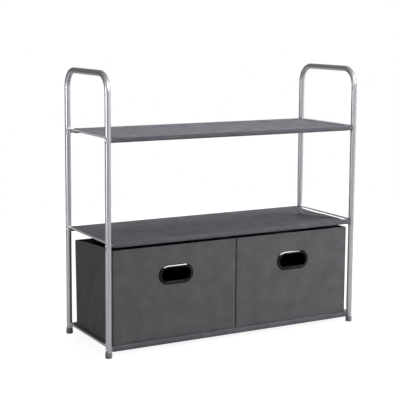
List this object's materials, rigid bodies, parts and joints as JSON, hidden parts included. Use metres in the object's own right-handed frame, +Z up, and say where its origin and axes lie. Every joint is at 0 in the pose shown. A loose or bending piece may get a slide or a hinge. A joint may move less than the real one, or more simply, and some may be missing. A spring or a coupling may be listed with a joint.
{
  "type": "closet organizer",
  "caption": "Closet organizer: bent tube end frames, cross tubes, three stretched cloth shelves and pull-out fabric bins with oval grab handles.",
  "frame": {"origin": "on the floor at the middle of the footprint of the four feet", "axes": "+X to the right along the width, -Y to the front where the bins pull out, +Z up"},
  "size_m": [0.8036, 0.2876, 0.7575],
  "materials": {
    "frame_paint": "satin silver-grey powder coat on steel tube",
    "screw_steel": "zinc plated",
    "plug_plastic": "moulded, light grey",
    "foot_plastic": "moulded, mid grey",
    "shelf_fabric": "spunbonded nonwoven, dark grey",
    "bin_fabric": "spunbonded nonwoven, dark grey",
    "bin_lining": "thin nonwoven, near black",
    "chipboard": "grey chipboard, raw",
    "base_board": "chipboard wrapped in nonwoven",
    "handle_plastic": "glossy black, moulded"
  },
  "bodies": {
    "frame": {"left_end_tube": "frame_paint", "left_top_rod": "frame_paint", "left_middle_rod": "frame_paint", "left_bottom_rod": "frame_paint", "right_end_tube": "frame_paint", "right_top_rod": "frame_paint", "right_middle_rod": "frame_paint", "right_bottom_rod": "frame_paint", "top_front_tube": "frame_paint", "top_rear_tube": "frame_paint", "middle_front_tube": "frame_paint", "middle_rear_tube": "frame_paint", "bottom_front_tube": "frame_paint", "bottom_rear_tube": "frame_paint", "tube_end_plugs": "plug_plastic", "frame_screws": "screw_steel", "foot_front_left": "foot_plastic", "foot_rear_left": "foot_plastic", "foot_front_right": "foot_plastic", "foot_rear_right": "foot_plastic", "top_shelf": "shelf_fabric", "middle_shelf": "shelf_fabric", "bottom_shelf": "shelf_fabric"},
    "left_bin": {"left_bin_cover": "bin_fabric", "left_bin_bottom_panel": "bin_fabric", "left_bin_front_board": "chipboard", "left_bin_rear_board": "chipboard", "left_bin_outer_board": "chipboard", "left_bin_inner_board": "chipboard", "left_bin_lining": "bin_lining", "left_bin_rim": "bin_fabric", "left_bin_handle": "handle_plastic", "left_bin_handle_back": "handle_plastic"},
    "left_base_board": {"left_bin_base_board": "base_board"},
    "right_bin": {"right_bin_cover": "bin_fabric", "right_bin_bottom_panel": "bin_fabric", "right_bin_front_board": "chipboard", "right_bin_rear_board": "chipboard", "right_bin_outer_board": "chipboard", "right_bin_inner_board": "chipboard", "right_bin_lining": "bin_lining", "right_bin_rim": "bin_fabric", "right_bin_handle": "handle_plastic", "right_bin_handle_back": "handle_plastic"},
    "right_base_board": {"right_bin_base_board": "base_board"}
  },
  "joints": [
    {"name": "left_bin_slide", "type": "slide", "parent": "frame", "child": "left_bin", "axis": [0, -1, 0], "range_m": [0, 0.28]},
    {"name": "right_bin_slide", "type": "slide", "parent": "frame", "child": "right_bin", "axis": [0, -1, 0], "range_m": [0, 0.28]},
    {"name": "left_base_lift", "type": "slide", "parent": "left_bin", "child": "left_base_board", "axis": [0, 0, 1], "range_m": [0, 0.2]},
    {"name": "right_base_lift", "type": "slide", "parent": "right_bin", "child": "right_base_board", "axis": [0, 0, 1], "range_m": [0, 0.2]}
  ]
}
